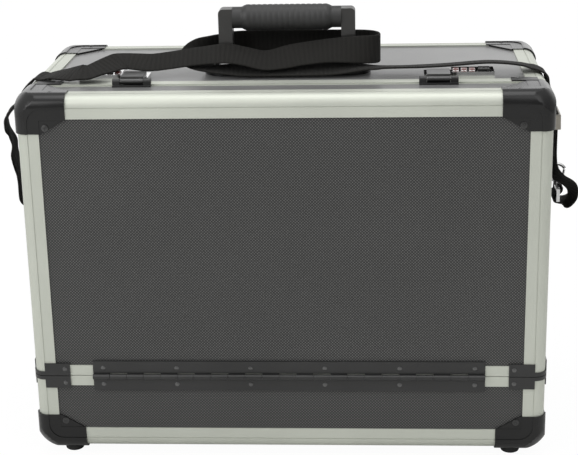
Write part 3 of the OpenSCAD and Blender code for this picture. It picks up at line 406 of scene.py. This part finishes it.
FINISHES = {
    "back_panel": LAMINATE_FACE, "door_panel": LAMINATE_FACE, "sill_panel": LAMINATE_FACE,
    "top_panel": LAMINATE_TOP_PAINTED_LIGHTER, "door_top_panel": LAMINATE_TOP_PAINTED_LIGHTER,
    "bottom_panel": LAMINATE_TOP_PAINTED_LIGHTER, "side_panels": LAMINATE_SIDE,
    "door_side_panels": LAMINATE_SIDE, "floor_mat": MAT_FOAM, "body_seal": SOFT_RUBBER,
    "feet": SOFT_RUBBER, "body_cap_screws": SCREW_STEEL, "door_cap_screws": SCREW_STEEL,
    "body_rivets": BLACK_RIVET, "door_rivets": BLACK_RIVET, "hinge_pin": BLACK_RIVET,
    "handle_pins": BLACK_LACQUER, "dial_axles": PIN_STEEL, "hasp_pins": PIN_STEEL,
    "handle_base": BASE_PLASTIC, "handle": HANDLE_PLASTIC, "handle_grip": GRIP_RUBBER,
    "lock_case_left": LOCK_CHROME, "lock_case_right": LOCK_CHROME,
    "ring_brackets": FITTING_NICKEL, "strap_slider": SLIDER_METAL,
    "shoulder_strap": WEBBING,
}
for name in nodes:
    if name.endswith(("_edges", "_rims")):
        FINISHES[name] = ALUMINIUM
    elif name.endswith("_caps"):
        FINISHES[name] = CAP_GLOSS
    elif name.endswith(("_seam_corners", "_leaf")) or name == "hasp_brackets":
        FINISHES[name] = BLACK_LACQUER
    elif name in ("hasp_left", "hasp_right"):
        FINISHES[name] = HASP_METAL
    elif name.startswith("lock_button"):
        FINISHES[name] = LOCK_BLACK
    elif name.startswith(("dial_left", "dial_right")):
        FINISHES[name] = WHEEL_SILVER
    elif name.startswith(("ring_left", "ring_right", "snap_hook", "hook_gate")):
        FINISHES[name] = FITTING_NICKEL
body_of_node = {n: body for body, members in frame["record"]["behaviour"]["bodies"].items()
                for n in members}


def finish_mesh(mesh, angle):
    """Smooth shading, sharp where faces meet at more than the angle."""
    mesh.polygons.foreach_set("use_smooth", [True] * len(mesh.polygons))
    mesh.set_sharp_from_angle(angle=math.radians(angle))


def keep_flats_flat(mesh):
    """Normals in which a large face outweighs the rounding beside it."""
    around = [[] for _ in mesh.vertices]
    for face in mesh.polygons:
        for corner in face.vertices:
            around[corner].append((face.normal.copy(), face.area))
    limit = math.cos(math.radians(SMOOTH_ANGLE))
    normals = []
    for face in mesh.polygons:
        for corner in face.vertices:
            total = Vector((0, 0, 0))
            for normal, area in around[corner]:
                if normal.dot(face.normal) > limit:
                    total += normal * area
            normals.append(total.normalized() if total.length > 0 else face.normal.copy())
    mesh.normals_split_custom_set(normals)


for name, piece in nodes.items():
    piece.data.materials.clear()
    piece.data.materials.append(FINISHES[name])


# Softened CAD pieces
SMOOTH_ANGLE = 40
SHARP_ANGLE = 35


def stand_for(node, name, mesh):
    """Puts a new piece in a node's place, on the same body."""
    piece = bpy.data.objects.new(name, mesh)
    scene.collection.objects.link(piece)
    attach(piece, body_of_node[node])
    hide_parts(node)


def merged_copy(node):
    """A node's mesh with its loose triangles joined and its flat faces made whole."""
    work = bmesh.new()
    work.from_mesh(nodes[node].data)
    bmesh.ops.remove_doubles(work, verts=work.verts, dist=0.000004)
    bmesh.ops.dissolve_limit(work, angle_limit=math.radians(0.4), verts=work.verts,
                             edges=work.edges)
    return work


def round_edges(work, angle, width, segments):
    """Bevels the edges at which faces meet at more than the angle."""
    sharp = [e for e in work.edges
             if len(e.link_faces) == 2 and e.calc_face_angle(0) > math.radians(angle)]
    bmesh.ops.bevel(work, geom=sharp, offset=width, offset_type="OFFSET",
                    segments=segments, profile=0.5, affect="EDGES", material=-1,
                    clamp_overlap=True)


def soften(node, width, segments):
    """Stands a copy of a node in its place, with its sharp edges rounded."""
    work = merged_copy(node)
    round_edges(work, SHARP_ANGLE, width, segments)
    mesh = bpy.data.meshes.new(node + "_softened")
    work.to_mesh(mesh)
    work.free()
    mesh.materials.append(FINISHES[node])
    finish_mesh(mesh, SMOOTH_ANGLE)
    keep_flats_flat(mesh)
    stand_for(node, node + "_softened", mesh)


# Width of the rounding in millimetres, and its segments
SOFTENED = {
    "handle": (1.6, 4), "handle_base": (0.9, 3), "hasp_left": (0.5, 2),
    "hasp_right": (0.5, 2), "hasp_brackets": (0.25, 2), "lock_case_left": (0.4, 2),
    "lock_case_right": (0.4, 2), "lock_button_left": (0.5, 3),
    "lock_button_right": (0.5, 3), "ring_brackets": (0.3, 2), "strap_slider": (0.5, 2),
    "hinge_lower_leaf": (0.15, 1), "hinge_upper_leaf": (0.15, 1),
    "door_caps": (0.5, 3), "bottom_front_caps": (0.5, 3), "top_rear_caps": (0.5, 3),
    "bottom_rear_caps": (0.5, 3),
}
for name, (width, segments) in SOFTENED.items():
    soften(name, width * MM, segments)


# Grip
GRIP_RIBS = 15
GRIP_RADIUS = 11.2 * MM
GRIP_END_RADIUS = 9.6 * MM
GRIP_RIB_HEIGHT = 0.5 * MM
GRIP_RIBBED = 37.0 * MM
GRIP_TAPER = 4.0 * MM
GRIP_BORE = 6.0 * MM
GRIP_RIB_ROUNDNESS = 0.45
GRIP_STATIONS = 160
GRIP_SIDES = 64


def grip_radius(x):
    """The sleeve's radius at a distance from its middle: plain ends and soft low ribs."""
    beyond = abs(x) - GRIP_RIBBED
    if beyond > 0:
        t = min(1, beyond / GRIP_TAPER)
        return GRIP_RADIUS + (GRIP_END_RADIUS - GRIP_RADIUS) * t * t * (3 - 2 * t)
    turns = (x + GRIP_RIBBED) / (2 * GRIP_RIBBED) * GRIP_RIBS
    return GRIP_RADIUS + GRIP_RIB_HEIGHT * abs(math.sin(math.pi * turns)) ** GRIP_RIB_ROUNDNESS


def make_grip():
    """The rubber sleeve: its profile with the bore, turned about the handle's bar."""
    low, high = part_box("handle_grip")
    middle, half = (low + high) / 2, (high.x - low.x) / 2
    places = [half * (k / GRIP_STATIONS * 2 - 1) for k in range(GRIP_STATIONS + 1)]
    profile = [(x, grip_radius(x)) for x in places]
    profile = [(places[0], GRIP_BORE), *profile, (places[-1], GRIP_BORE)]
    work = bmesh.new()
    corners = [work.verts.new(middle + Vector((x, radius, 0))) for x, radius in profile]
    edges = [work.edges.new(pair) for pair in zip(corners, corners[1:] + corners[:1])]
    bmesh.ops.spin(work, geom=corners + edges, cent=middle, axis=(1, 0, 0),
                   angle=math.tau, steps=GRIP_SIDES, use_merge=True)
    bmesh.ops.recalc_face_normals(work, faces=work.faces)
    mesh = bpy.data.meshes.new("handle_grip_sleeve")
    work.to_mesh(mesh)
    work.free()
    mesh.materials.append(GRIP_RUBBER)
    finish_mesh(mesh, 50)
    stand_for("handle_grip", "handle_grip_sleeve", mesh)


make_grip()


# Dials
DIAL_Y = -47.0
DIAL_Z = 341.7
DIAL_RADIUS = 4.3 * MM
DIAL_FLATS = 10
DIAL_ROUNDING = 0.25 * MM
REAR_NUMERAL = 8
NUMERAL_SIZE = 3.7 * MM
NUMERAL_RELIEF = 0.04 * MM
NUMERAL_LIFT = 0.03 * MM


def numeral_mesh(digit):
    """One numeral as a thin flat mesh, centred on the origin."""
    data = bpy.data.curves.new("numeral", "FONT")
    data.body = str(digit)
    data.size = NUMERAL_SIZE
    data.align_x = "CENTER"
    data.align_y = "CENTER"
    data.extrude = NUMERAL_RELIEF
    data.resolution_u = 3
    holder = bpy.data.objects.new("numeral", data)
    scene.collection.objects.link(holder)
    bpy.context.view_layer.update()
    mesh = bpy.data.meshes.new_from_object(holder)
    bpy.data.objects.remove(holder)
    return mesh


def dress_dial(node):
    """A dial with ten flats, a rounded edge on each, and a raised numeral on every flat."""
    low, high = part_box(node)
    middle = Vector(((low.x + high.x) / 2, DIAL_Y * MM, DIAL_Z * MM))
    work = merged_copy(node)
    round_edges(work, 30, DIAL_ROUNDING, 2)
    for face in work.faces:
        face.material_index = 0
    reach = DIAL_RADIUS * math.cos(math.pi / DIAL_FLATS) + NUMERAL_LIFT
    for step in range(DIAL_FLATS):
        turn = math.tau / DIAL_FLATS * (step + 0.5)
        right = Vector((1, 0, 0))
        up = Vector((0, math.sin(turn), -math.cos(turn)))
        out = Vector((0, math.cos(turn), math.sin(turn)))
        place = Matrix((right, up, out)).transposed().to_4x4()
        place.translation = middle + out * reach
        mesh = numeral_mesh((step + REAR_NUMERAL) % DIAL_FLATS)
        mesh.transform(place)
        before = len(work.faces)
        work.from_mesh(mesh)
        work.faces.ensure_lookup_table()
        for face in work.faces[before:]:
            face.material_index = 1
        bpy.data.meshes.remove(mesh)
    mesh = bpy.data.meshes.new(node + "_wheel")
    work.to_mesh(mesh)
    work.free()
    mesh.materials.append(WHEEL_SILVER)
    mesh.materials.append(NUMERAL_RED)
    finish_mesh(mesh, 30)
    stand_for(node, node + "_wheel", mesh)


for hand in ("left", "right"):
    for number in (1, 2, 3):
        dress_dial(f"dial_{hand}_{number}")


# Shoulder strap
# The strap's route in millimetres, as the solid's: a point and the direction of its width.
# A point is placed from the hook's eye, the side, the top's edge, the lock or the handle's
# base, whichever it passes.
TOP_Z = 338.0
SIDE_X = 230.0
HANG_X = 248.603
RING_Y = 15.0
EYE_BAR_Z = 209.697
STRAP_DROP = 92.0
LATCH_X = 122.0
LOCK_HEIGHT = 6.0
HANDLE_Y = -14.0
BASE_HEIGHT = 4.0
STRAP_WIDTH = 25.0
STRAP_THICKNESS = 1.8
STRAP_STEPS = 6
LOOP_OUT = (4.2, 3.4, 0.5, -2.9, -3.6, -2.7, 0, 4)
LOOP_UP = (10.5, 7, 4.4, 2.7, 0, -2.7, -3.7, -4.4)


def end_loop(sign, way):
    return [by_hook(sign, out, 0, up, way) for out, up in zip(LOOP_OUT, LOOP_UP)]


def by_hook(sign, out, y, up, way):
    return (sign * (HANG_X + out), RING_Y + y, EYE_BAR_Z + up), way


def beside(sign, out, y, share, way):
    return (sign * (SIDE_X + out), y, TOP_Z - share * STRAP_DROP), way


def by_edge(sign, inward, y, z, way):
    return (sign * (SIDE_X - inward), DIAL_Y + y, TOP_Z + z), way


def by_lock(sign, x, y, z, way):
    return (sign * (LATCH_X + x), DIAL_Y + y, TOP_Z + LOCK_HEIGHT + z), way


def by_handle(x, y, z, way):
    return (x, HANDLE_Y + y, TOP_Z + BASE_HEIGHT + z), way


STRAP_ROUTE = [
    *end_loop(-1, (0, 1, 0)),
    by_hook(-1, 8, 0, -3.6, (0, 1, 0)),
    by_hook(-1, 10.9, 0, 1, (0, 1, 0)),
    by_hook(-1, 11.3, 0, 9, (0, 1, 0)),
    by_hook(-1, 11.3, 0, 18, (0, 1, 0)),
    by_hook(-1, 11.7, -1.5, 27, (0, 1, 0)),
    beside(-1, 31.3, 10, 1, (0, 1, 0)),
    beside(-1, 31.6, 6, 0.9, (0, 1, 0)),
    beside(-1, 31, 2, 0.8, (0, 1, 0)),
    beside(-1, 31, -1.5, 0.73, (-0.12, 0.98, 0)),
    beside(-1, 31.3, -6, 0.655, (-0.2, 0.98, 0)),
    beside(-1, 31.3, -11, 0.58, (-0.18, 0.98, 0)),
    beside(-1, 31, -16.5, 0.5, (-0.14, 0.98, 0.02)),
    beside(-1, 27.5, -22, 0.41, (-0.1, 0.98, 0.05)),
    beside(-1, 19.5, -29, 0.31, (0.1, 0.96, 0.05)),
    beside(-1, 11, -35, 0.19, (0.1, 0.95, 0.1)),
    beside(-1, 3, -38, 0.07, (0.1, 0.97, 0.05)),
    by_edge(-1, 6, 7.5, 1.6, (0.1, 0.98, 0.04)),
    by_edge(-1, 14, 4.5, 2.2, (0.12, 0.98, 0.04)),
    by_edge(-1, 24, 1.6, 4.7, (0.1, 0.98, 0.06)),
    by_edge(-1, 33, -2.6, 6.1, (0.05, 0.98, 0.17)),
    by_lock(-1, 66, -6.5, 1.5, (0, 0.96, 0.27)),
    by_lock(-1, 60.3, -9, 2.4, (0, 0.95, 0.31)),
    by_lock(-1, 52.5, -8.7, 2.7, (0, 0.95, 0.31)),
    by_lock(-1, 45.5, -5, 4.4, (0, 0.96, 0.29)),
    by_lock(-1, 38, 1, 6, (0, 0.95, 0.31)),
    by_lock(-1, 30.5, 8.7, 7.5, (0, 0.95, 0.31)),
    by_lock(-1, 23, 14.4, 7.6, (0, 0.94, 0.34)),
    by_lock(-1, 12, 14.8, 6.8, (0, 0.92, 0.39)),
    by_lock(-1, -1, 13, 6.4, (0, 0.9, 0.43)),
    by_handle(-104, -20, 10.2, (0, 0.89, 0.45)),
    by_handle(-90, -20.8, 12.4, (0, 0.89, 0.46)),
    by_handle(-77, -21, 14, (0, 0.88, 0.47)),
    by_handle(-54, -21, 16, (0, 0.85, 0.53)),
    by_handle(-37, -21, 13.3, (0, 0.87, 0.49)),
    by_handle(-19, -21.5, 9.6, (0, 0.85, 0.53)),
    by_handle(-1, -21.5, 12.3, (0, 0.75, 0.66)),
    by_handle(12, -20, 14.5, (0, 0.74, 0.67)),
    by_handle(37, -18.7, 17.2, (0, 0.7, 0.71)),
    by_handle(60, -18.3, 17.9, (0, 0.5, 0.86)),
    by_handle(74, -15.5, 17.4, (0, 0.3, 0.95)),
    by_handle(81.5, -9, 16.8, (0, 0.08, 1)),
    by_handle(83, 0, 16.6, (0, 0, 1)),
    by_handle(80.5, 9, 16.6, (0, 0, 1)),
    by_handle(72, 15.5, 16.7, (0, 0, 1)),
    by_handle(54, 17.5, 16.8, (0, 0, 1)),
    by_handle(0, 18, 17, (0, 0, 1)),
    by_handle(-42, 17.5, 16.8, (0, 0, 1)),
    by_handle(-58, 16, 15.6, (-0.05, -0.2, 1)),
    by_handle(-70, 12, 14.6, (-0.35, -0.4, 0.85)),
    by_handle(-80, 5.5, 12.6, (-0.7, -0.5, 0.5)),
    by_handle(-86, -4, 8.6, (-0.85, -0.5, 0.15)),
    by_handle(-81, -15, 5, (-0.6, -0.8, 0)),
    by_handle(-66, -21.7, 2.6, (-0.15, -1, -0.05)),
    by_handle(-46, -21.3, 1.3, (0, -0.98, -0.2)),
    by_handle(-30, -21, 0.9, (0, -0.97, -0.24)),
    by_handle(30, -21, 1.1, (0, -0.97, -0.24)),
    by_handle(52, -21, 1.7, (0, -0.98, -0.16)),
    by_handle(70, -20.2, 2.5, (0, -1, 0)),
    by_handle(84, -16.5, 1.5, (0, -0.98, 0.12)),
    by_lock(1, -19, 17.5, -0.6, (0, -0.98, 0.14)),
    by_lock(1, -2, 17.5, -0.2, (0, -0.99, 0.125)),
    by_lock(1, 21, 17.5, 0.9, (0, -0.99, 0.125)),
    by_lock(1, 52, 19, 2.8, (0, -0.99, 0.125)),
    by_lock(1, 70, 19.8, 2.3, (0, -0.99, 0.12)),
    by_edge(1, 23, 21.5, 6.2, (0, -0.99, 0.11)),
    by_edge(1, 14, 23, 3.8, (0, -1, 0.06)),
    by_edge(1, 6.5, 24, 1.8, (0.03, -1, 0.02)),
    beside(1, 0.6, -22, 0.03, (0.05, -1, 0)),
    beside(1, 3, -20.5, 0.13, (0.05, -1, 0)),
    beside(1, 7.8, -17.5, 0.28, (0.03, -1, 0)),
    beside(1, 11.8, -15, 0.43, (0, -1, 0)),
    beside(1, 12.2, -14.6, 0.57, (0, -1, 0)),
    beside(1, 12.2, -14.5, 0.72, (0, -1, 0)),
    beside(1, 12.4, -14.5, 0.86, (0, -1, 0)),
    beside(1, 13.4, -14, 0.97, (0.05, -1, 0.05)),
    by_hook(1, -1.8, -27.2, 30.3, (0.2, -0.92, 0.25)),
    by_hook(1, 3.4, -23, 21.8, (0.35, -0.82, 0.4)),
    by_hook(1, 8.2, -16, 13.8, (0.32, -0.88, 0.28)),
    by_hook(1, 11.2, -8.5, 5.5, (0.15, -0.98, 0.1)),
    by_hook(1, 10.8, -2.5, -1.6, (0.05, -1, 0.02)),
    by_hook(1, 7.6, -0.4, -4.2, (0, -1, 0)),
    *reversed(end_loop(1, (0, -1, 0))),
]

# Where the strap is cut into lengths: at the rings' height, past the left lock, and where the
# loops round the handle begin and end
RING_Z = 246.0
PAST_LOCK_X = -121.0
FIRST_LOOP_X = -77.0
LAST_LOOP_X = 103.0


def smooth_route(values, steps):
    """Points on the smooth curve through the values, with steps to each span."""
    last = len(values) - 1
    result = []
    for i in range(last):
        a, b = values[max(i - 1, 0)], values[i]
        c, d = values[i + 1], values[min(i + 2, last)]
        for k in range(steps):
            t = k / steps
            result.append(b + (c - a + (2 * a - 5 * b + 4 * c - d
                                        + (3 * b - a - 3 * c + d) * t) * t) * (t / 2))
    result.append(values[last])
    return result


def follow_strap():
    """The strap's points, the directions of its width, and its length up to each point."""
    points = smooth_route([Vector(p) * MM for p, _ in STRAP_ROUTE], STRAP_STEPS)
    ways = smooth_route([Vector(w) for _, w in STRAP_ROUTE], STRAP_STEPS)
    lengths = [0.0]
    for behind, ahead in zip(points, points[1:]):
        lengths.append(lengths[-1] + (ahead - behind).length)
    return points, ways, lengths


def make_webbing(name, first, last):
    """A length of the webbing: a ribbon with a soft edge, its UV map in metres across and
    along. The lengths meet end to end."""
    points, ways, lengths = strap_path
    half = STRAP_WIDTH / 2 * MM
    thick = STRAP_THICKNESS / 2 * MM
    # The section: across the ribbon and its thickness there, round its edges
    outline = [(-1, 0.35), (-0.97, 0.8), (-0.9, 0.92), (-0.6, 0.88), (-0.2, 0.86),
               (0.2, 0.86), (0.6, 0.88), (0.9, 0.92), (0.97, 0.8), (1, 0.35)]
    outline += [(a, -b) for a, b in reversed(outline)]
    work = bmesh.new()
    uv = work.loops.layers.uv.new("webbing")
    rings = []
    for i in range(first, last + 1):
        ahead = points[min(i + 1, len(points) - 1)]
        behind = points[max(i - 1, 0)]
        run = (ahead - behind).normalized()
        across = (ways[i] - run * ways[i].dot(run)).normalized()
        out = run.cross(across)
        rings.append([work.verts.new(points[i] + across * a * half + out * b * thick)
                      for a, b in outline])
    count = len(outline)
    for i in range(len(rings) - 1):
        for j in range(count):
            k = (j + 1) % count
            face = work.faces.new((rings[i][j], rings[i][k], rings[i + 1][k],
                                   rings[i + 1][j]))
            spots = ((j, i), (k, i), (k, i + 1), (j, i + 1))
            for loop, (a, b) in zip(face.loops, spots):
                loop[uv].uv = (outline[a][0] * half, lengths[first + b])
    for ring in (rings[0], rings[-1]):
        face = work.faces.new(ring)
        for loop in face.loops:
            loop[uv].uv = (0, 0)
    bmesh.ops.recalc_face_normals(work, faces=work.faces)
    mesh = bpy.data.meshes.new(name)
    work.to_mesh(mesh)
    work.free()
    mesh.materials.append(WEBBING)
    finish_mesh(mesh, 60)
    piece = bpy.data.objects.new(name, mesh)
    scene.collection.objects.link(piece)
    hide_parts("shoulder_strap")
    return piece


def lay_webbing(name, first, last, rests_on):
    """One length of the webbing, laid between two points of its route."""
    piece = make_webbing(name, first, last)
    return piece


strap_path = follow_strap()
strap_points = strap_path[0]
strap_last = len(strap_points) - 1
above_ring = [i for i, p in enumerate(strap_points) if p.z > RING_Z * MM]
past_lock = next(i for i, p in enumerate(strap_points) if p.x > PAST_LOCK_X * MM)
first_loop = next(i for i, p in enumerate(strap_points) if p.x > FIRST_LOOP_X * MM)
last_loop = max(i for i, p in enumerate(strap_points) if p.x < LAST_LOOP_X * MM)


def lay_loops():
    """The loops round the handle's posts, and the length that slopes to them from past the
    left lock; both are attached to the body.
    """
    loops = lay_webbing("strap_loops", first_loop, last_loop, ["top_panel", "handle_base"])
    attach(loops, "body")
    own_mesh(loops)
    slope = lay_webbing("strap_slope", past_lock, first_loop, ["lock_case_left"])
    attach(slope, "body")
    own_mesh(slope)


def hang_side(hand, sign, side, end):
    """One hanging side and its end, each laid as its own length of the webbing."""

    def at(height):
        return sign * HANG_X * MM, RING_Y * MM, height * MM

    piece = lay_webbing(f"strap_side_{hand}", *side, [f"lock_case_{hand}", "side_panels"])
    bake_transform(piece)
    piece = lay_webbing(f"strap_end_{hand}", *end, [f"snap_hook_{hand}"])
    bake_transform(piece)


lay_loops()
hang_side("left", -1, (above_ring[0], past_lock), (0, above_ring[0]))
hang_side("right", 1, (last_loop, above_ring[-1]), (above_ring[-1], strap_last))


# Stage and light
# How strongly each part of the studio glows
BACK_GLOW = 1.2
OVERHEAD_GLOW = 0.7
CEILING_GLOW = 3.4
RIGHT_GLOW = 0.1
LEFT_GLOW = 0.5
FRONT_GLOW = 0.4
FLOOR_SIZE = 8


def make_floor():
    """A pale floor that looks almost white to the camera and keeps the shadow."""
    work = bmesh.new()
    bmesh.ops.create_grid(work, x_segments=1, y_segments=1, size=FLOOR_SIZE)
    mesh = bpy.data.meshes.new("studio_floor")
    work.to_mesh(mesh)
    work.free()
    floor = bpy.data.objects.new("studio_floor", mesh)
    scene.collection.objects.link(floor)
    material = bpy.data.materials.new("studio_floor")
    material.use_nodes = True
    tree = material.node_tree
    tree.nodes.clear()
    seen = add(tree, "ShaderNodeLightPath").outputs["Is Camera Ray"]
    paint = add(tree, "ShaderNodeBsdfDiffuse")
    tree.links.new(mix_colors(tree, seen, (0.62, 0.62, 0.61), (0.95, 0.95, 0.95)),
                   paint.inputs["Color"])
    glow = add(tree, "ShaderNodeEmission")
    glow.inputs["Color"].default_value = (1, 1, 1, 1)
    blend = add(tree, "ShaderNodeMixShader")
    tree.links.new(math_node(tree, "MULTIPLY", seen, 0.96), blend.inputs[0])
    tree.links.new(paint.outputs[0], blend.inputs[1])
    tree.links.new(glow.outputs[0], blend.inputs[2])
    leave = add(tree, "ShaderNodeOutputMaterial")
    tree.links.new(blend.outputs[0], leave.inputs[0])
    mesh.materials.append(material)


def light_world():
    """A bright sweep behind and overhead, dim towards the camera, as in a small studio."""
    world = bpy.data.worlds.new("studio_world")
    scene.world = world
    world.use_nodes = True
    tree = world.node_tree
    tree.nodes.clear()
    way = add(tree, "ShaderNodeSeparateXYZ")
    tree.links.new(add(tree, "ShaderNodeTexCoord").outputs["Generated"], way.inputs[0])
    x, y, z = way.outputs

    def glow_where(value, low, high, amount):
        return remap(tree, value, low, high, 0, amount, True)

    back = math_node(tree, "MULTIPLY", glow_where(y, 0.3, 0.75, BACK_GLOW),
                     glow_where(z, 0.62, 0.3, 1))
    level = math_node(tree, "ADD", back, glow_where(z, 0.35, 0.95, OVERHEAD_GLOW))
    level = math_node(tree, "ADD", level, glow_where(z, 0.9, 0.98, CEILING_GLOW))
    level = math_node(tree, "ADD", level, glow_where(x, 0.45, 0.95, RIGHT_GLOW))
    level = math_node(tree, "ADD", level, glow_where(x, -0.45, -0.95, LEFT_GLOW))
    level = math_node(tree, "ADD", level, FRONT_GLOW)
    glow = add(tree, "ShaderNodeBackground")
    tree.links.new(level, glow.inputs["Strength"])
    white = add(tree, "ShaderNodeBackground")
    white.inputs["Color"].default_value = (1, 1, 1, 1)
    white.inputs["Strength"].default_value = 1
    blend = add(tree, "ShaderNodeMixShader")
    tree.links.new(add(tree, "ShaderNodeLightPath").outputs["Is Camera Ray"],
                   blend.inputs[0])
    tree.links.new(glow.outputs[0], blend.inputs[1])
    tree.links.new(white.outputs[0], blend.inputs[2])
    leave = add(tree, "ShaderNodeOutputWorld")
    tree.links.new(blend.outputs[0], leave.inputs[0])


def soft_box(name, at, aim, size, power):
    data = bpy.data.lights.new(name, "AREA")
    data.shape = "RECTANGLE"
    data.size, data.size_y = size
    data.energy = power
    lamp = bpy.data.objects.new(name, data)
    scene.collection.objects.link(lamp)
    lamp.location = at
    lamp.rotation_mode = "QUATERNION"
    lamp.rotation_quaternion = (Vector(aim) - Vector(at)).to_track_quat("-Z", "Y")


make_floor()
light_world()
soft_box("key_softbox", (1.1, -1.2, 1.7), (0, 0, 0.2), (1.6, 1.4), 9)
soft_box("fill_softbox", (-1.4, -1.4, 1.4), (0, 0, 0.2), (1.6, 1.2), 23)
scene.view_settings.view_transform = "Standard"
